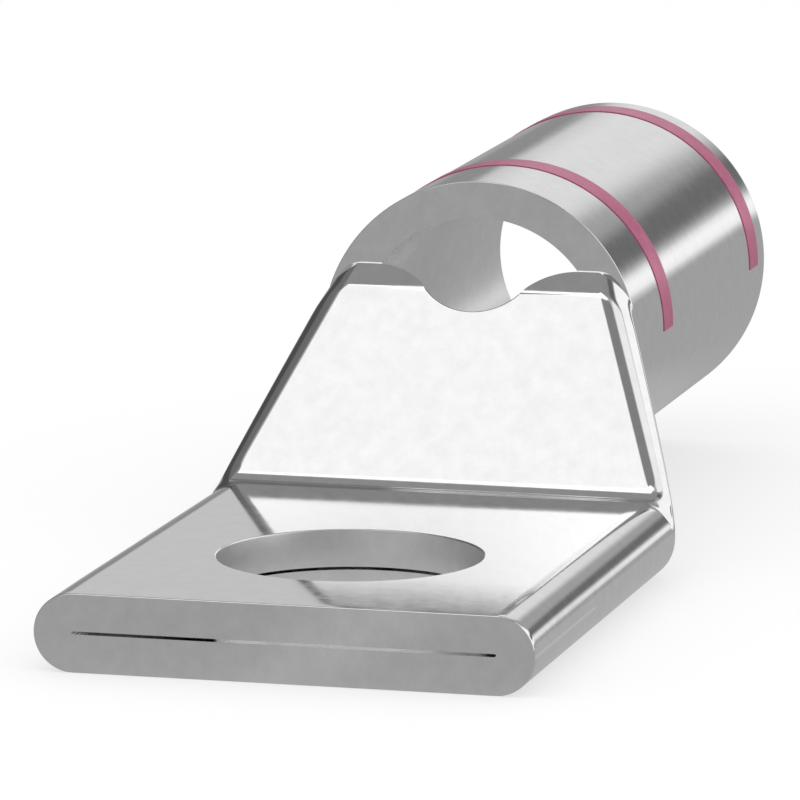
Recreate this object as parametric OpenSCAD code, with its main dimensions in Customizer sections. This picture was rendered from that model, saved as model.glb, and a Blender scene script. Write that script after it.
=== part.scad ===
// Compression cable lug with a narrow tongue: one length of copper tube, tinned
// all over, with one end left round as the barrel and the other pressed flat.
// +X runs from the stud hole along the barrel to its open mouth, +Y is across the
// tongue, and +Z is up. The origin is the stud hole's centre on the underside.

/* [Barrel] */
// Outer diameter of the round barrel
barrel_od = 13.4; // [12.8:0.1:14]
// Wall thickness of the tube
wall = 1.5; // [1.3:0.05:1.6]
// Length of the round barrel, from its cut face at the window to the mouth
barrel_len = 24.3; // [16:0.1:32]
// Height of the barrel's lowest line above the tongue's underside
barrel_rise = 1.43; // [1:0.01:1.8]

/* [Tongue] */
// Width of the flattened tongue
tongue_w = 19.6; // [18.6:0.1:20.6]
// Gap left between the two flattened layers
seam_gap = 0.12; // [0.08:0.01:0.2]
// Diameter of the stud hole
stud_hole_d = 10.4; // [8:0.1:11]
// Distance from the stud hole's centre to the square front end
front_reach = 9.8; // [8:0.1:12]
// Distance from the stud hole's centre to the crease at the foot of the ramp
crease_reach = 14.1; // [13:0.1:16]

/* [Ramp] */
// Slope of the flat ramp that rises from the tongue, in degrees
ramp_angle = 55.3; // [53:0.1:57]
// Distance along the lug from the crease to the barrel's cut face
ramp_run = 6.2; // [6:0.1:6.6]
// Length over which the tongue turns up into the ramp
crease_len = 1.13; // [0.8:0.01:1.4]
// Distance up the ramp's face at which it starts to bend back
bend_reach = 8.75; // [8.4:0.05:9.2]
// Length of that bend
bend_len = 0.35; // [0.2:0.01:0.5]
// Slope that is left at the lip, in degrees
lip_angle = 39.5; // [36:0.5:44]
// Rounding of the ramp's long edges, measured across the lug
edge_round = 0.95; // [0.6:0.05:1.2]

/* [Window] */
// Length of the ramp's face, from the crease up to the lip
lip_reach = 10.15; // [9.9:0.05:10.4]
// Depth of the notch in the lip
notch_depth = 2.13; // [1.6:0.01:2.6]
// Radius at the bottom of the notch
notch_r = 2.6; // [2:0.1:3]
// Radius of the lip's shoulders, where they turn down into the notch
shoulder_r = 2.85; // [2:0.05:3.2]

/* [Colour code] */
// Width of each printed band
band_w = 1.6; // [1:0.1:2]
// Thickness of the ink film
ink_t = 0.04; // [0.02:0.01:0.08]
// Distance from the barrel's cut face to the middle of the first band
band_inset = 5.5; // [3:0.1:8]
// Distance from the mouth to the middle of the last band
band_outset = 2.2; // [1.5:0.1:5]

/* [Hidden] */
$fn = 96;

tongue_t = 2 * wall + seam_gap;
barrel_r = barrel_od / 2;
bore_r = barrel_r - wall;
axis_z = barrel_rise + barrel_r;
barrel_x = crease_reach + ramp_run;
mouth_x = barrel_x + barrel_len;
over = 1;

// The tongue's own section ends a little before the crease. The sides ease out
// of it and into the barrel, and the ramp's own corners form over a short length
blend = 0.7;
loft_x = crease_reach - blend;
ease_in = 1.4;
ease_out = 0.6;
form_len = 1.1;
// Points up each flank of a section, outside and in, and round the ramp's edge
flank_n = 20;
inner_n = 16;
round_n = 8;
// The formed length stands this proud of the barrel and its bore where it laps
// them, then dives below their surfaces
proud = 0.03;
past = 0.05;
dive = 0.1;
lap = 0.3;
// Height of the ramp edge's rounding, at the tongue and on the ramp
round_h0 = 1.2;
round_h = 1.6;
// Centre height of the upper flank arc where the ramp begins
flank_z = 2.3;
// Half the flat that a section keeps at its lowest line
keel = 0.05;

function mix(a, b, k) = a + (b - a) * k;
function clamp01(k) = max(0, min(1, k));
function smooth(k) = let (c = clamp01(k)) c * c * (3 - 2 * c);

// Straight rise from 0 at a to 1 at b, eased in over ea and out over eb
function eased(x, a, b, ea, eb) =
    let (u = x - a, span = b - a, m = 1 / (span - (ea + eb) / 2))
    u <= 0 ? 0 :
    u >= span ? 1 :
    u < ea ? m * u * u / (2 * ea) :
    u <= span - eb ? m * (u - ea / 2) :
    1 - m * (span - u) * (span - u) / (2 * eb);

// How far a section is on its way from the tongue to the barrel
function along(x) = eased(x, loft_x, barrel_x, ease_in, ease_out);
// How far the ramp's own corners have formed behind the crease
function formed(x) = smooth((x - loft_x) / form_len);

// Height gained at x by a slope that grows as a sine, from 0 at start to 1 over len
function turned(x, start, len) =
    let (u = max(0, x - start), round = 2 * len / PI)
    u < len ? round * (1 - cos(90 * u / len)) : round + u - len;

// Height of the upper face: the tongue turns up, and the ramp's end bends back
foot_x = crease_reach - crease_len * (1 - 2 / PI);
bend_x = crease_reach + bend_reach * cos(ramp_angle);
function top_z(x) =
    tongue_t + tan(ramp_angle) * turned(x, foot_x, crease_len)
    - (tan(ramp_angle) - tan(lip_angle)) * turned(x, bend_x, bend_len);

// Measures of the section at x: each is the tube's outer surface
function half_w(x) = mix(tongue_w / 2, barrel_r, along(x));
function base_z(x) = barrel_rise * along(x);
function low_r(x) = mix(tongue_t / 2, barrel_r - keel, along(x));
function high_z(x) = mix(mix(tongue_t / 2, flank_z, formed(x)), axis_z, along(x));

// Half-width of a section at height z, with the tube's wall taken off by t
function flank(x, z, t) =
    let (w = half_w(x) - t, r = low_r(x) - t, low = base_z(x) + low_r(x),
         high = max(low, high_z(x)))
    z < low ? w - r + sqrt(max(0, r * r - (low - z) * (low - z))) :
    z <= high ? w :
    w - r + sqrt(max(0, r * r - (z - high) * (z - high)));

// Points up the right flank from one height to another, closest at the keel
function flank_points(x, t, z0, z1, n) =
    [for (i = [0 : n])
        let (z = mix(z0, z1, 1 - cos(90 * i / n)))
        [flank(x, z, t), z]];

// The rounding of the ramp's long edges fades out between the lip and the barrel
fade = 0.12;
fade_x = barrel_x - fade - 0.03;
function round_a(x) = edge_round * formed(x) * (1 - smooth((x - fade_x) / fade));

// Right half of the outer section, sunk by t: flank, then the rounded ramp edge
function outer_half(x, t) =
    let (round_b = mix(round_h0, round_h, formed(x)),
         turn_z = top_z(x) - t - round_b)
    concat(
        flank_points(x, t, base_z(x) + t, turn_z, flank_n),
        [for (i = [1 : round_n])
            let (s = sin(90 * i / round_n), z = turn_z + round_b * s)
            [flank(x, z, t) - round_a(x) * (1 - sqrt(max(0, 1 - s * s))), z]]);

// Right half of the inner section, sunk by t below the outer one. Its roof is
// never closer to its floor than the gap of the flattened seam
function inner_half(x, t) =
    let (floor_z = base_z(x) + t,
         roof_z = max(floor_z + seam_gap, top_z(x) - wall / cos(ramp_angle)))
    flank_points(x, t, floor_z, roof_z, inner_n);

// Both halves of a section as one outline, and the outline as a ring at x
function outline(half) = concat(
    half,
    [for (i = [len(half) - 1 : -1 : 0]) [-half[i][0], half[i][1]]]);
function ring(x, half) = [for (p = outline(half)) [x, p[0], p[1]]];

// Solid through a row of sections that all have the same number of points
module loft(rings) {
    n = len(rings[0]);
    last = len(rings) - 1;
    polyhedron(
        points = [for (r = rings) for (p = r) p],
        faces = concat(
            [[for (i = [0 : n - 1]) i]],
            [for (j = [0 : last - 1]) for (i = [0 : n - 1])
                [j * n + i, (j + 1) * n + i, (j + 1) * n + (i + 1) % n, j * n + (i + 1) % n]],
            [[for (i = [n - 1 : -1 : 0]) last * n + i]]));
}

// Where the sections stand: each stretch of the length has its own number of them
stretches = [
    [loft_x, foot_x, 2],
    [foot_x, foot_x + crease_len, 10],
    [foot_x + crease_len, bend_x, 8],
    [bend_x, bend_x + bend_len, 4],
    [bend_x + bend_len, fade_x, 3],
    [fade_x, fade_x + fade, 1]
];
stations = concat(
    [for (s = stretches) for (i = [0 : s[2] - 1]) mix(s[0], s[1], i / s[2])],
    [fade_x + fade, barrel_x + past]);
function swell(x) = proud * along(x);
end_x = barrel_x + past + lap;

// Outside of the flattened end: a bar with full-round sides
module tongue() {
    translate([-front_reach, 0, 0])
        rotate([90, 0, 90])
            linear_extrude(front_reach + loft_x)
                polygon(outline(outer_half(loft_x, 0)));
}

// Outside of the length that changes from tongue to barrel
module ramp_body() {
    loft(concat(
        [for (x = stations) ring(x, outer_half(x, -swell(x)))],
        [ring(end_x, outer_half(end_x, dive))]));
}

// Inside of the tube: the closed seam in the tongue, opening under the ramp
module hollow() {
    front_x = -front_reach - over;
    loft(concat(
        [ring(front_x, inner_half(front_x, wall))],
        [for (x = stations) ring(x, inner_half(x, wall - swell(x)))],
        [ring(end_x, inner_half(end_x, wall + dive))]));
}

module along_x(r, x0, x1) {
    translate([x0, 0, axis_z])
        rotate([0, 90, 0])
            cylinder(r = r, h = x1 - x0);
}

// Everything above the lip, cut square to the ramp: flat shoulders and a
// round-bottomed notch whose sides turn smoothly into them
module lip_cut() {
    arcs = notch_r + shoulder_r;
    reach = sqrt(arcs * arcs - pow(arcs - notch_depth, 2));
    // Height at which the notch's arc passes into the shoulder's arc
    meet = notch_r - notch_depth - (arcs - notch_depth) * notch_r / arcs;
    wide = tongue_w;
    tall = 3 * notch_depth;
    deep = 4 * wall;
    translate([crease_reach, 0, tongue_t])
        rotate([0, -ramp_angle, 0])
            translate([lip_reach, 0, -deep])
                linear_extrude(2 * deep)
                    difference() {
                        union() {
                            translate([0, -wide / 2])
                                square([tall, wide]);
                            translate([notch_r - notch_depth, 0])
                                circle(r = notch_r);
                            translate([meet, -reach])
                                square([-meet, 2 * reach]);
                        }
                        for (side = [-1, 1])
                            translate([-shoulder_r, side * reach])
                                circle(r = shoulder_r);
                    }
}

module lug() {
    color("silver")
        difference() {
            union() {
                tongue();
                difference() {
                    ramp_body();
                    lip_cut();
                }
                along_x(barrel_r, barrel_x, mouth_x);
            }
            hollow();
            along_x(bore_r, barrel_x, mouth_x + over);
            translate([0, 0, -over])
                cylinder(d = stud_hole_d, h = tongue_t + 2 * over);
        }
}

// Two printed bands over the barrel's upper half
module colour_bands() {
    color("palevioletred")
        for (x = [barrel_x + band_inset, mouth_x - band_outset])
            translate([x - band_w / 2, 0, axis_z])
                rotate([90, 0, 90])
                    rotate_extrude(angle = 180)
                        translate([barrel_r, 0])
                            square([ink_t, band_w]);
}

lug();
colour_bands();
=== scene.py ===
import math

import bpy
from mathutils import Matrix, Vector


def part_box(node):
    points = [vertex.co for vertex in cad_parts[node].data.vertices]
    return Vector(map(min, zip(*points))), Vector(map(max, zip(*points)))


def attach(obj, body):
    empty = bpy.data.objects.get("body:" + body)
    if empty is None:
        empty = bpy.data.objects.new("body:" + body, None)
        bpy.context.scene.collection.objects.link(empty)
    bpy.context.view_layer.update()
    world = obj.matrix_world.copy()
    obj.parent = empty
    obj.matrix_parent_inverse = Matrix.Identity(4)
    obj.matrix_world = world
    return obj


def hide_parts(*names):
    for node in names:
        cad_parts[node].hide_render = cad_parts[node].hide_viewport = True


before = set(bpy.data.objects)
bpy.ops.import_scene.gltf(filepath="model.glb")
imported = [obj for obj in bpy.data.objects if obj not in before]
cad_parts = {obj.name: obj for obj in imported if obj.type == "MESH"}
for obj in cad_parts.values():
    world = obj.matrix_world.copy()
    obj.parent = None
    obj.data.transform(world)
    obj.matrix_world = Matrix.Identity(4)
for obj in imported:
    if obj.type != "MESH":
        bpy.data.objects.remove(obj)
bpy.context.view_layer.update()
LOW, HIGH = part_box("lug")

# Sizes of the lug, in metres. The ends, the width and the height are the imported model's own.
MM = 0.001
FRONT_X = LOW[0]
MOUTH_X = HIGH[0]
TONGUE_W = HIGH[1] - LOW[1]
BARREL_R = 6.7 * MM
BARREL_LEN = 24.3 * MM
AXIS_Z = HIGH[2] - BARREL_R
BARREL_RISE = AXIS_Z - BARREL_R
WALL = 1.5 * MM
SEAM_GAP = 0.12 * MM
TONGUE_T = 2 * WALL + SEAM_GAP
BORE_R = BARREL_R - WALL
HOLE_R = 5.2 * MM
CREASE_X = 14.1 * MM
BARREL_X = MOUTH_X - BARREL_LEN
RAMP_ANGLE = math.radians(55.3)
CREASE_LEN = 1.13 * MM
BEND_REACH = 8.75 * MM
BEND_LEN = 0.35 * MM
LIP_ANGLE = math.radians(39.5)
EDGE_ROUND = 0.95 * MM
LIP_REACH = 10.15 * MM
NOTCH_DEPTH = 2.13 * MM
NOTCH_R = 2.6 * MM
SHOULDER_R = 2.85 * MM

# How the section changes from tongue to barrel: the tongue's own section ends a little
# before the crease, the sides ease out of it and into the barrel, the ramp's corners
# form over a short length, and a section keeps a small flat at its lowest line
BLEND = 0.7 * MM
LOFT_X = CREASE_X - BLEND
EASE_IN = 1.4 * MM
EASE_OUT = 0.6 * MM
FORM_LEN = 1.1 * MM
ROUND_H0 = 1.2 * MM
ROUND_H = 1.6 * MM
FLANK_Z = 2.3 * MM
KEEL = 0.01 * MM

# Where the tongue starts to turn up, and where the ramp's end starts to bend back
FOOT_X = CREASE_X - CREASE_LEN * (1 - 2 / math.pi)
BEND_X = CREASE_X + BEND_REACH * math.cos(RAMP_ANGLE)

# Half the notch's whole width, up to where its shoulders level out
ARCS = NOTCH_R + SHOULDER_R
NOTCH_REACH = math.sqrt(ARCS ** 2 - (ARCS - NOTCH_DEPTH) ** 2)

# The formed length laps the barrel, and a cutting body reaches past what it cuts
LAP = 0.3 * MM
OVER = 1.0 * MM

# Small roundings that catch the light along the cut edges
FRONT_EDGE = 0.06 * MM
RIM_EDGE = 0.05 * MM
LIP_EDGE = 0.07 * MM
HOLE_EDGE = 0.06 * MM
EDGE_STEPS = 4

# The tongue's upper face sinks a hair towards the front end, guessed from the soft fade
# in the photograph's reflection there
FRONT_DROP = 0.04 * MM
DROP_LEN = 6.0 * MM
DROP_STEPS = 16

# Fineness of the mesh: sections along the ramp, points up a flank outside and inside,
# round the ramp's edge, round the barrel and the hole, and across half the notch
STATIONS = 110
FLANK_N = 44
INNER_N = 30
ROUND_N = 16
AROUND = 224
ARC_N = 24

# Edges sharper than this angle stay sharp, and broad faces lead the shading this much
SMOOTH_ANGLE = math.radians(28)
FACE_WEIGHT = 50

# Colour bands: the first stands off the barrel's cut face, the last off the mouth
BAND_W = 1.6 * MM
BAND_T = 0.03 * MM
BAND_INSET = 5.5 * MM
BAND_OUTSET = 2.2 * MM
BAND_STEPS = 96

# Tin plate: clouds in its tone and gloss, a fine grain, and a duller finish on the walls
# of the hole and the bore. The faces in the pressed seam get painted light, a colour paler
# than the plate, which no real finish is, so that the narrow seam's shade doesn't render too
# dark
CLOUD_SCALE = 1500
CLOUD_DETAIL = 4
NOISE_ROUGHNESS = 0.6
CLOUD_LOW = 0.30
CLOUD_HIGH = 0.70
TIN_DARK = (0.79, 0.79, 0.795)
TIN_PALE = (0.86, 0.86, 0.862)
TIN_ROUGHNESS = (0.05, 0.09)
# Painted light: the seam's faces get this colour, paler than any tin, so their shade stays
# light
SEAM_PAINTED_LIGHT = (0.97, 0.97, 0.97, 1)
INNER_ROUGHNESS = 0.3
GRAIN_SCALE = 2600
GRAIN_DETAIL = 3
GRAIN_STRENGTH = 0.025
GRAIN_DEPTH = 0.02 * MM

# How far off a wall its duller finish, or off a seam face its painted light, still holds,
# and how far from the front end the seam's painted light begins
WALL_SKIN = 0.02 * MM
SEAM_SKIN = 0.01 * MM
SEAM_INSET = 0.05 * MM

# Marking ink, thin enough for the metal to shine through
INK_DARK = (0.48, 0.087, 0.20)
INK_PALE = (0.57, 0.123, 0.257)
INK_METAL = 0.45
INK_ROUGHNESS = 0.32

# Floor: half its side, its drop below the lug, its finish, and the share of it that is
# plain white to the camera
FLOOR_SIZE = 3.0
FLOOR_GAP = 0.01 * MM
FLOOR_COLOUR = (0.97, 0.97, 0.97, 1)
FLOOR_ROUGHNESS = 0.9
FLOOR_SPECULAR = 0.1
FLOOR_GLOW = 0.6

# Softbox above the front left: where it stands from the lug, its side and its power
KEY_TOWARDS = (-0.50, 0.25, 0.83)
KEY_DISTANCE = 0.5
KEY_SIZE = 0.35
KEY_POWER = 0.25

# Light tent that only the metal mirrors: a grey ground, flat just above the floor, on
# which panels are painted one over another. They are seen from the lug, in degrees from
# +X towards +Y and up from the horizon: name, azimuths, elevations, tone, soft edge.
# Their places and tones were written by hand from a scratch reading of the photograph's
# brightness by mirror direction, so they suit that view and aren't a plain studio light
TENT_R = 0.8
TENT_GAP = 0.02 * MM
TENT_STEP = 1.0
TENT_GREY = 0.45
PANELS = (
    ("grey_horizon", (-180, 180), (-18, 40), 0.39, 6),
    ("under_hole", (160, 200), (-32, -16), 0.52, 4),
    ("grey_zenith", (-180, 180), (74, 96), 0.33, 6),
    ("right_light", (248, 343), (-1, 50), 1.10, 4),
    ("grey_front", (171, 243), (30, 96), 0.25, 5),
    ("grey_top", (-82, 118), (51, 96), 0.30, 6),
    ("grey_behind", (-17, 60), (30, 60), 0.22, 6),
    ("dark_shoulder", (294, 323), (48, 66), 0.14, 5),
    ("side_light", (243, 287), (20, 68), 1.0, 5),
    ("key_light", (115, 172), (38, 72), 1.11, 6),
    ("key_top", (116, 172), (66.5, 74), 1.48, 3),
    ("key_zenith", (119.5, 262), (71, 110), 1.48, 3),
    ("grey_left", (22, 112), (-8, 62), 0.17, 8),
    ("dark_left", (22, 84), (-8, 40), 0.08, 12),
    ("half_back", (-9, 27), (0, 26), 0.60, 7),
    ("pale_back", (-8, 16), (4, 32), 0.79, 7),
    ("grey_back", (12.5, 40), (-2, 9.5), 0.28, 2.5),
    ("dark_back", (-30, -6), (4.5, 13.5), 0.16, 3),
    ("low_light", (-19.5, -5), (-1, 5.7), 1.05, 2.5),
)

# Camera of the photograph: a long lens, level, ten degrees down
CAMERA_AT = Vector((-292.25, -79.24, 62.772)) * MM
CAMERA_TO = Vector((0.952025, 0.251614, -0.174180))
LENS = 358.3
SENSOR = 36.0
CLIP_START = 0.01
CLIP_END = 10

# Mirrorings that the narrow seam needs to stay light
BOUNCES = 32


def mix(a, b, k):
    """Value a share k of the way from a to b."""
    return a + (b - a) * k


def smooth(k):
    """0 below 0, 1 above 1, and an even curve between."""
    c = min(1.0, max(0.0, k))
    return c * c * (3 - 2 * c)


def eased(x, a, b, ea, eb):
    """Straight rise from 0 at a to 1 at b, eased in over ea and out over eb."""
    u, span = x - a, b - a
    slope = 1 / (span - (ea + eb) / 2)
    if u <= 0:
        return 0.0
    if u >= span:
        return 1.0
    if u < ea:
        return slope * u * u / (2 * ea)
    if u <= span - eb:
        return slope * (u - ea / 2)
    return 1 - slope * (span - u) ** 2 / (2 * eb)


def along(x):
    """How far the section at x is on its way from the tongue to the barrel."""
    return eased(x, LOFT_X, BARREL_X, EASE_IN, EASE_OUT)


def formed(x):
    """How far the ramp's own corners have formed behind the crease."""
    return smooth((x - LOFT_X) / FORM_LEN)


def turned(x, start, length):
    """Height gained at x by a slope that grows as a sine from 0 at start to 1."""
    u = max(0.0, x - start)
    full = 2 * length / math.pi
    return full * (1 - math.cos(math.pi / 2 * u / length)) if u < length else full + u - length


def top_z(x):
    """Height of the upper face: the tongue turns up, and the ramp's end bends back."""
    rise = math.tan(RAMP_ANGLE) * turned(x, FOOT_X, CREASE_LEN)
    bend = (math.tan(RAMP_ANGLE) - math.tan(LIP_ANGLE)) * turned(x, BEND_X, BEND_LEN)
    return TONGUE_T + rise - bend


def base_z(x):
    """Height of the section's lowest line."""
    return BARREL_RISE * along(x)


def flank(x, z, t):
    """Half-width of the section at height z, with t taken off its outside."""
    k = along(x)
    full_r = mix(TONGUE_T / 2, BARREL_R - KEEL, k)
    low = base_z(x) + full_r
    high = max(low, mix(mix(TONGUE_T / 2, FLANK_Z, formed(x)), AXIS_Z, k))
    w = mix(TONGUE_W / 2, BARREL_R, k) - t
    r = full_r - t
    if z < low:
        return w - r + math.sqrt(max(0.0, r * r - (low - z) ** 2))
    if z <= high:
        return w
    return w - r + math.sqrt(max(0.0, r * r - (z - high) ** 2))


def flank_points(x, t, z0, z1, n):
    """Points up the right flank from one height to another, closest at the keel."""
    zs = [mix(z0, z1, 1 - math.cos(math.pi / 2 * i / n)) for i in range(n + 1)]
    return [(flank(x, z, t), z) for z in zs]


def outer_half(x, t):
    """Right half of the outer section, sunk by t."""
    round_a = EDGE_ROUND * formed(x)
    round_b = mix(ROUND_H0, ROUND_H, formed(x))
    turn_z = top_z(x) - t - round_b
    points = flank_points(x, t, base_z(x) + t, turn_z, FLANK_N)
    for i in range(1, ROUND_N + 1):
        s = math.sin(math.pi / 2 * i / ROUND_N)
        z = turn_z + round_b * s
        points.append((flank(x, z, t) - round_a * (1 - math.sqrt(1 - s * s)), z))
    return points


def inner_half(x, t):
    """Right half of the tube's inside, t below the outer section, with the seam's gap kept."""
    floor_z = base_z(x) + t
    roof_z = max(floor_z + SEAM_GAP, top_z(x) - WALL / math.cos(RAMP_ANGLE))
    return flank_points(x, t, floor_z, roof_z, INNER_N)


def ring(x, half):
    """Closed outline at x from the points of its right half."""
    right = [(x, y, z) for y, z in half]
    left = [(x, -y, z) for y, z in reversed(half)]
    return right + left


def mesh_object(name, verts, faces):
    """New object in the scene, made of the given corners and faces."""
    mesh = bpy.data.meshes.new(name)
    mesh.from_pydata(verts, [], faces)
    mesh.validate()
    obj = bpy.data.objects.new(name, mesh)
    bpy.context.scene.collection.objects.link(obj)
    return obj


def loft(name, rings):
    """Closed solid through a row of rings with the same number of points."""
    n = len(rings[0])
    verts = [p for r in rings for p in r]
    faces = [tuple(reversed(range(n)))]
    for j in range(len(rings) - 1):
        for i in range(n):
            k = (i + 1) % n
            faces.append((j * n + i, j * n + k, (j + 1) * n + k, (j + 1) * n + i))
    last = (len(rings) - 1) * n
    faces.append(tuple(range(last, last + n)))
    return mesh_object(name, verts, faces)


def tongue_ring(x, t):
    """Section of the tongue, whose upper face sinks towards the front end."""
    near = max(0.0, 1 - (x - FRONT_X) / DROP_LEN)
    keep = 1 - FRONT_DROP * near ** 2 / TONGUE_T
    return ring(x, [(y, z * keep) for y, z in outer_half(LOFT_X, t)])


def outer_body():
    """Outside of the tongue and the ramp, with the front edges just broken."""
    rings = []
    for i in range(EDGE_STEPS + 1):
        a = math.pi / 2 * i / EDGE_STEPS
        x = FRONT_X + FRONT_EDGE * (1 - math.cos(a))
        rings.append(tongue_ring(x, FRONT_EDGE * (1 - math.sin(a))))
    for i in range(1, DROP_STEPS + 1):
        x = mix(FRONT_X + FRONT_EDGE, FRONT_X + DROP_LEN, i / DROP_STEPS)
        rings.append(tongue_ring(x, 0))
    for j in range(STATIONS + 1):
        x = mix(LOFT_X, BARREL_X + LAP, j / STATIONS)
        rings.append(ring(x, outer_half(x, 0)))
    return loft("outer_body", rings)


def hollow_body():
    """Inside of the tube: the closed seam, opening out under the ramp."""
    rings = [ring(FRONT_X - OVER, inner_half(LOFT_X, WALL))]
    for j in range(STATIONS + 1):
        x = mix(LOFT_X, BARREL_X + LAP, j / STATIONS)
        rings.append(ring(x, inner_half(x, WALL)))
    return loft("hollow_body", rings)


def turned_solid(name, profile, axis):
    """Solid turned about an axis along X or Z from (along, radius) points."""
    rings = []
    for s, r in profile:
        angles = [2 * math.pi * i / AROUND for i in range(AROUND)]
        if axis == "x":
            rings.append([(s, r * math.sin(a), AXIS_Z + r * math.cos(a)) for a in angles])
        else:
            rings.append([(r * math.cos(a), r * math.sin(a), s) for a in angles])
    return loft(name, rings)


def rounded_end(s, r, e, outward, widening):
    """Quarter round of size e that ends a turned profile at s and radius r.

    outward is the end's side, 1 or -1, and widening is 1 in a hole and -1 on a solid.
    """
    points = []
    for i in range(EDGE_STEPS + 1):
        a = math.pi / 2 * i / EDGE_STEPS
        points.append((s + outward * e * (math.sin(a) - 1),
                       r + widening * e * (1 - math.cos(a))))
    return points


def barrel_body():
    """Outside of the barrel."""
    near = rounded_end(BARREL_X, BARREL_R, RIM_EDGE, -1, -1)
    far = rounded_end(MOUTH_X, BARREL_R, RIM_EDGE, 1, -1)
    return turned_solid("barrel_body", list(reversed(near)) + far, "x")


def bore_body():
    """Inside of the barrel, flared at the mouth."""
    flare = rounded_end(MOUTH_X, BORE_R, RIM_EDGE, 1, 1)
    profile = [(BARREL_X, BORE_R)] + flare + [(MOUTH_X + OVER, BORE_R + RIM_EDGE)]
    return turned_solid("bore_body", profile, "x")


def hole_body():
    """Stud hole, with both its edges eased."""
    top = rounded_end(TONGUE_T, HOLE_R, HOLE_EDGE, 1, 1)
    low = rounded_end(0, HOLE_R, HOLE_EDGE, -1, 1)
    profile = [(-OVER, HOLE_R + HOLE_EDGE)] + list(reversed(low))
    profile += top + [(TONGUE_T + OVER, HOLE_R + HOLE_EDGE)]
    return turned_solid("hole_body", profile, "z")


def lip_height(y, inset):
    """Lip's height at y, seen square to the ramp, moved down by inset."""
    y = abs(y)
    meet = NOTCH_REACH * (NOTCH_R + inset) / ARCS
    if y <= meet:
        return NOTCH_R - NOTCH_DEPTH - math.sqrt((NOTCH_R + inset) ** 2 - y * y)
    if y < NOTCH_REACH:
        return math.sqrt((SHOULDER_R - inset) ** 2 - (y - NOTCH_REACH) ** 2) - SHOULDER_R
    return -inset


def lip_body():
    """Everything above the lip, cut square to the ramp, its upper edge eased."""
    half = [NOTCH_REACH * i / ARC_N for i in range(ARC_N + 1)] + [TONGUE_W / 2]
    ys = [-y for y in reversed(half)] + half[1:]
    deep = 4 * WALL
    top = LIP_REACH + 3 * NOTCH_DEPTH
    levels = [(-deep, 0.0)]
    for i in range(EDGE_STEPS + 1):
        a = math.pi / 2 * i / EDGE_STEPS
        levels.append((LIP_EDGE * (math.sin(a) - 1), LIP_EDGE * (1 - math.cos(a))))
    levels.append((deep, LIP_EDGE))
    ahead, rise = math.cos(RAMP_ANGLE), math.sin(RAMP_ANGLE)
    rings = []
    for out, inset in levels:
        outline = [(LIP_REACH + lip_height(y, inset), y) for y in ys]
        outline += [(top, ys[-1]), (top, ys[0])]
        rings.append([(CREASE_X + s * ahead - out * rise, y,
                       TONGUE_T + s * rise + out * ahead) for s, y in outline])
    return loft("lip_body", rings)


def combine(obj, other, operation):
    """Boolean of two solids; the second is used up."""
    cut = obj.modifiers.new("cut", "BOOLEAN")
    cut.operation = operation
    cut.solver = "MANIFOLD"
    cut.object = other
    depsgraph = bpy.context.evaluated_depsgraph_get()
    result = bpy.data.meshes.new_from_object(obj.evaluated_get(depsgraph))
    obj.modifiers.clear()
    obj.data = result
    bpy.data.objects.remove(other)


def face_outwards(obj):
    """Turn the whole mesh inside out if it encloses a negative volume."""
    mesh = obj.data
    mesh.calc_loop_triangles()
    volume = 0.0
    for tri in mesh.loop_triangles:
        a, b, c = (mesh.vertices[i].co for i in tri.vertices)
        volume += a.dot(b.cross(c))
    if volume < 0:
        mesh.flip_normals()


def shade_smooth(obj):
    """Smooth shading that keeps the sharp edges."""
    for poly in obj.data.polygons:
        poly.use_smooth = True
    obj.data.set_sharp_from_angle(angle=SMOOTH_ANGLE)


def make_lug(tin):
    """The whole tube: outer forms joined, then the inner ones cut out of them."""
    parts = [outer_body(), lip_body(), barrel_body(), hollow_body(), bore_body(), hole_body()]
    for part in parts:
        face_outwards(part)
    lug, lip, barrel, hollow, bore, hole = parts
    combine(lug, lip, "DIFFERENCE")
    combine(lug, barrel, "UNION")
    combine(lug, hollow, "DIFFERENCE")
    combine(lug, bore, "DIFFERENCE")
    combine(lug, hole, "DIFFERENCE")
    lug.name = "tinned_lug"
    lug.data.name = "tinned_lug"
    lug.data.materials.clear()
    lug.data.materials.append(tin)
    shade_smooth(lug)
    weighted = lug.modifiers.new("weighted", "WEIGHTED_NORMAL")
    weighted.keep_sharp = True
    weighted.weight = FACE_WEIGHT
    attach(lug, "root")
    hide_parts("lug")


def make_bands(ink):
    """Printed bands over the upper half of the barrel, as thin curved strips."""
    verts, faces = [], []
    profile = [(-BAND_W / 2, 0), (-BAND_W / 2, BAND_T), (BAND_W / 2, BAND_T), (BAND_W / 2, 0)]
    corners = len(profile)
    for x in (BARREL_X + BAND_INSET, MOUTH_X - BAND_OUTSET):
        start = len(verts)
        for i in range(BAND_STEPS + 1):
            a = math.pi * (i / BAND_STEPS - 0.5)
            for dx, h in profile:
                r = BARREL_R + h
                verts.append((x + dx, r * math.sin(a), AXIS_Z + r * math.cos(a)))
        for i in range(BAND_STEPS):
            row = start + corners * i
            after = row + corners
            for k in range(corners):
                m = (k + 1) % corners
                faces.append((row + k, row + m, after + m, after + k))
        last = start + corners * BAND_STEPS
        faces.append(tuple(reversed(range(start, start + corners))))
        faces.append(tuple(range(last, last + corners)))
    bands = mesh_object("printed_bands", verts, faces)
    face_outwards(bands)
    bands.data.materials.append(ink)
    shade_smooth(bands)
    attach(bands, "root")
    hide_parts("colour_bands")


def new_material(name):
    """New node material and its shader."""
    material = bpy.data.materials.new(name)
    material.use_nodes = True
    return material, material.node_tree.nodes["Principled BSDF"]


def noise(nodes, links, coords, scale, detail):
    """Socket of a noise texture."""
    node = nodes.new("ShaderNodeTexNoise")
    node.inputs["Scale"].default_value = scale
    node.inputs["Detail"].default_value = detail
    node.inputs["Roughness"].default_value = NOISE_ROUGHNESS
    links.new(coords, node.inputs["Vector"])
    return node.outputs["Fac"]


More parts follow.
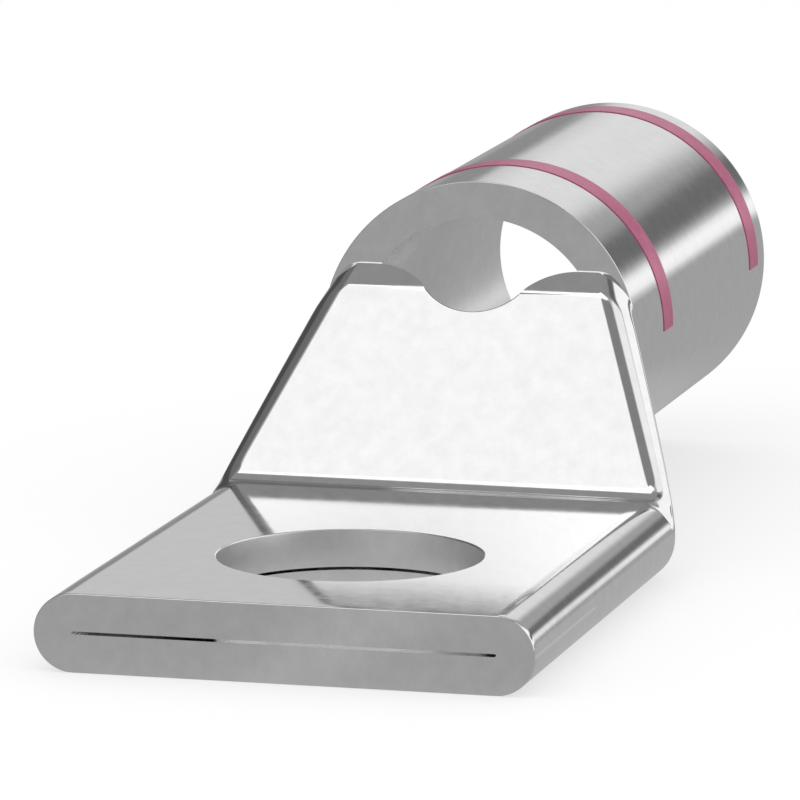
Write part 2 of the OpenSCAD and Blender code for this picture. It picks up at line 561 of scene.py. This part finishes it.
def between(nodes, links, clouds, first, second):
    """Socket of a colour that goes from first to second with the clouds."""
    node = nodes.new("ShaderNodeValToRGB")
    low, high = node.color_ramp.elements
    low.position, low.color = CLOUD_LOW, (*first, 1)
    high.position, high.color = CLOUD_HIGH, (*second, 1)
    links.new(clouds, node.inputs["Fac"])
    return node.outputs["Color"]


def math_node(nodes, links, operation, first, *others):
    """Math node on a socket; the other inputs are sockets or numbers."""
    node = nodes.new("ShaderNodeMath")
    node.operation = operation
    links.new(first, node.inputs[0])
    for i, other in enumerate(others, 1):
        if isinstance(other, float):
            node.inputs[i].default_value = other
        else:
            links.new(other, node.inputs[i])
    return node.outputs["Value"]


def near_axis(nodes, links, coords, point, across, radius):
    """1 closer than radius to an axis through point, measured along across, else 0."""
    away = nodes.new("ShaderNodeVectorMath")
    away.operation = "SUBTRACT"
    away.inputs[1].default_value = point
    links.new(coords, away.inputs[0])
    flat = nodes.new("ShaderNodeVectorMath")
    flat.operation = "MULTIPLY"
    flat.inputs[1].default_value = across
    links.new(away.outputs["Vector"], flat.inputs[0])
    reach = nodes.new("ShaderNodeVectorMath")
    reach.operation = "LENGTH"
    links.new(flat.outputs["Vector"], reach.inputs[0])
    return math_node(nodes, links, "LESS_THAN", reach.outputs["Value"], radius)


def inner_mask(nodes, links, coords, x):
    """1 on the walls of the stud hole and of the barrel's bore, else 0."""
    hole = near_axis(nodes, links, coords, (0, 0, 0), (1, 1, 0), HOLE_R + WALL_SKIN)
    bore = near_axis(nodes, links, coords, (0, 0, AXIS_Z), (0, 1, 1), BORE_R + WALL_SKIN)
    behind = math_node(nodes, links, "GREATER_THAN", x, BARREL_X)
    bore = math_node(nodes, links, "MULTIPLY", bore, behind)
    return math_node(nodes, links, "MAXIMUM", hole, bore)


def seam_light_mask(nodes, links, x, z):
    """1 where the closed seam's faces get painted light, from the front end to the stud hole,
    else 0.
    """
    level = math_node(nodes, links, "COMPARE", z, TONGUE_T / 2, SEAM_GAP / 2 + SEAM_SKIN)
    reach = -FRONT_X / 2 - SEAM_INSET
    ahead = math_node(nodes, links, "COMPARE", x, FRONT_X / 2, reach)
    return math_node(nodes, links, "MULTIPLY", level, ahead)


def tin_material():
    """Bright tin plate: a satin mirror with faint clouds in tone and gloss, and painted light
    on the faces in the seam.
    """
    material, shader = new_material("tin_plate")
    nodes, links = material.node_tree.nodes, material.node_tree.links
    coords = nodes.new("ShaderNodeTexCoord").outputs["Object"]
    clouds = noise(nodes, links, coords, CLOUD_SCALE, CLOUD_DETAIL)
    axes = nodes.new("ShaderNodeSeparateXYZ")
    links.new(coords, axes.inputs["Vector"])
    x, z = axes.outputs["X"], axes.outputs["Z"]
    inner = inner_mask(nodes, links, coords, x)

    shader.inputs["Metallic"].default_value = 1.0
    # Cloud tone, with painted light taking its place on the seam's faces
    tone = nodes.new("ShaderNodeMix")
    tone.data_type = "RGBA"
    tone.inputs["B"].default_value = SEAM_PAINTED_LIGHT
    links.new(seam_light_mask(nodes, links, x, z), tone.inputs["Factor"])
    links.new(between(nodes, links, clouds, TIN_DARK, TIN_PALE), tone.inputs["A"])
    links.new(tone.outputs["Result"], shader.inputs["Base Color"])

    gloss = nodes.new("ShaderNodeMix")
    gloss.inputs["B"].default_value = INNER_ROUGHNESS
    least, most = TIN_ROUGHNESS
    links.new(inner, gloss.inputs["Factor"])
    links.new(between(nodes, links, clouds, (least,) * 3, (most,) * 3), gloss.inputs["A"])
    links.new(gloss.outputs["Result"], shader.inputs["Roughness"])

    relief = nodes.new("ShaderNodeMapRange")
    relief.inputs["To Min"].default_value = GRAIN_STRENGTH
    relief.inputs["To Max"].default_value = 0.0
    links.new(inner, relief.inputs["Value"])
    bump = nodes.new("ShaderNodeBump")
    bump.inputs["Distance"].default_value = GRAIN_DEPTH
    links.new(relief.outputs["Result"], bump.inputs["Strength"])
    links.new(noise(nodes, links, coords, GRAIN_SCALE, GRAIN_DETAIL), bump.inputs["Height"])
    links.new(bump.outputs["Normal"], shader.inputs["Normal"])
    return material


def ink_material():
    """Pink marking ink with the same clouds as the metal under it."""
    material, shader = new_material("band_ink")
    nodes, links = material.node_tree.nodes, material.node_tree.links
    coords = nodes.new("ShaderNodeTexCoord").outputs["Object"]
    clouds = noise(nodes, links, coords, CLOUD_SCALE, CLOUD_DETAIL)
    links.new(between(nodes, links, clouds, INK_DARK, INK_PALE), shader.inputs["Base Color"])
    shader.inputs["Metallic"].default_value = INK_METAL
    shader.inputs["Roughness"].default_value = INK_ROUGHNESS
    return material


def direction(azimuth, elevation):
    """Unit vector towards an azimuth and an elevation in degrees."""
    az, el = math.radians(azimuth), math.radians(elevation)
    return Vector((math.cos(az) * math.cos(el), math.sin(az) * math.cos(el), math.sin(el)))


def panel_mask(az, el, azimuths, elevations, soft):
    """How far a panel covers a direction: 1 inside it, fading to 0 at its edge."""
    middle = (azimuths[0] + azimuths[1]) / 2
    off = abs((az - middle + 180) % 360 - 180)
    side = ((azimuths[1] - azimuths[0]) / 2 - off) / soft
    edge = min(el - elevations[0], elevations[1] - el) / soft
    return smooth(side) * smooth(edge)


def tent_tone(az, el):
    """Tone painted on the tent in a direction."""
    tone = TENT_GREY
    for _, azimuths, elevations, panel_tone, soft in PANELS:
        tone = mix(tone, panel_tone, panel_mask(az, el, azimuths, elevations, soft))
    return tone


def tent_material():
    """Even glow in the tone painted on the tent."""
    material = bpy.data.materials.new("light_tent")
    material.use_nodes = True
    material.cycles.emission_sampling = "NONE"
    nodes, links = material.node_tree.nodes, material.node_tree.links
    nodes.clear()
    output = nodes.new("ShaderNodeOutputMaterial")
    glow = nodes.new("ShaderNodeEmission")
    tone = nodes.new("ShaderNodeAttribute")
    tone.attribute_name = "tone"
    links.new(tone.outputs["Fac"], glow.inputs["Strength"])
    links.new(glow.outputs["Emission"], output.inputs["Surface"])
    return material


def make_tent():
    """Light tent round the lug, flat along the floor, that only reflections see."""
    centre = Vector((BARREL_X, 0, AXIS_Z))
    across, up = round(360 / TENT_STEP), round(180 / TENT_STEP)
    verts, tones = [], []
    for j in range(up + 1):
        el = mix(-90, 90, j / up)
        reach = TENT_R
        if el < 0:
            reach = min(TENT_R, (AXIS_Z - TENT_GAP) / math.sin(math.radians(-el)))
        for i in range(across):
            az = 360 * i / across
            verts.append(centre + direction(az, el) * reach)
            tones.append(tent_tone(az, el))
    faces = []
    for j in range(up):
        for i in range(across):
            k, m = j * across + i, j * across + (i + 1) % across
            faces.append((k, m, m + across, k + across))
    tent = mesh_object("light_tent", verts, faces)
    tent.data.attributes.new("tone", "FLOAT", "POINT").data.foreach_set("value", tones)
    tent.data.materials.append(tent_material())
    tent.visible_camera = False
    tent.visible_diffuse = False
    tent.visible_transmission = False
    tent.visible_shadow = False


def seen_directly(nodes, links):
    """1 for what the camera sees itself or in metal or glass, 0 for light cast on others."""
    path = nodes.new("ShaderNodeLightPath").outputs
    mirrored = math_node(nodes, links, "MAXIMUM", path["Is Camera Ray"], path["Is Glossy Ray"])
    return math_node(nodes, links, "MAXIMUM", mirrored, path["Is Transmission Ray"])


def make_floor():
    """Pale floor. Part of what is seen of it is plain white, so its shadow stays faint."""
    s, z = FLOOR_SIZE, LOW[2] - FLOOR_GAP
    corners = [(-s, -s, z), (s, -s, z), (s, s, z), (-s, s, z)]
    floor = mesh_object("floor", corners, [(0, 1, 2, 3)])
    material, shader = new_material("floor")
    shader.inputs["Base Color"].default_value = FLOOR_COLOUR
    shader.inputs["Roughness"].default_value = FLOOR_ROUGHNESS
    shader.inputs["Specular IOR Level"].default_value = FLOOR_SPECULAR
    material.cycles.emission_sampling = "NONE"
    nodes, links = material.node_tree.nodes, material.node_tree.links
    glow = nodes.new("ShaderNodeEmission")
    share = math_node(nodes, links, "MULTIPLY", seen_directly(nodes, links), FLOOR_GLOW)
    blend = nodes.new("ShaderNodeMixShader")
    links.new(share, blend.inputs[0])
    links.new(shader.outputs["BSDF"], blend.inputs[1])
    links.new(glow.outputs["Emission"], blend.inputs[2])
    links.new(blend.outputs["Shader"], nodes["Material Output"].inputs["Surface"])
    floor.data.materials.append(material)


def make_world():
    """Plain white light from all round."""
    world = bpy.data.worlds.new("studio")
    bpy.context.scene.world = world
    world.use_nodes = True
    background = world.node_tree.nodes["Background"]
    background.inputs["Color"].default_value = (1, 1, 1, 1)
    background.inputs["Strength"].default_value = 1.0


def make_key_light():
    """Softbox for the floor and the ink, which the metal doesn't mirror."""
    light = bpy.data.lights.new("key", "AREA")
    light.shape = "SQUARE"
    light.size = KEY_SIZE
    light.energy = KEY_POWER
    key = bpy.data.objects.new("key", light)
    bpy.context.scene.collection.objects.link(key)
    out = Vector(KEY_TOWARDS).normalized()
    key.location = Vector((BARREL_X, 0, AXIS_Z)) + out * KEY_DISTANCE
    key.rotation_euler = (-out).to_track_quat("-Z", "Y").to_euler()
    key.visible_glossy = False


def make_camera():
    """Camera of the photograph."""
    data = bpy.data.cameras.new("camera")
    data.lens = LENS
    data.sensor_width = SENSOR
    data.clip_start = CLIP_START
    data.clip_end = CLIP_END
    camera = bpy.data.objects.new("camera", data)
    bpy.context.scene.collection.objects.link(camera)
    camera.location = CAMERA_AT
    camera.rotation_euler = CAMERA_TO.to_track_quat("-Z", "Y").to_euler()
    bpy.context.scene.camera = camera


scene = bpy.context.scene
scene.view_settings.view_transform = "Standard"
scene.cycles.max_bounces = BOUNCES
scene.cycles.glossy_bounces = BOUNCES
make_camera()
make_world()
make_floor()
make_tent()
make_key_light()
make_lug(tin_material())
make_bands(ink_material())
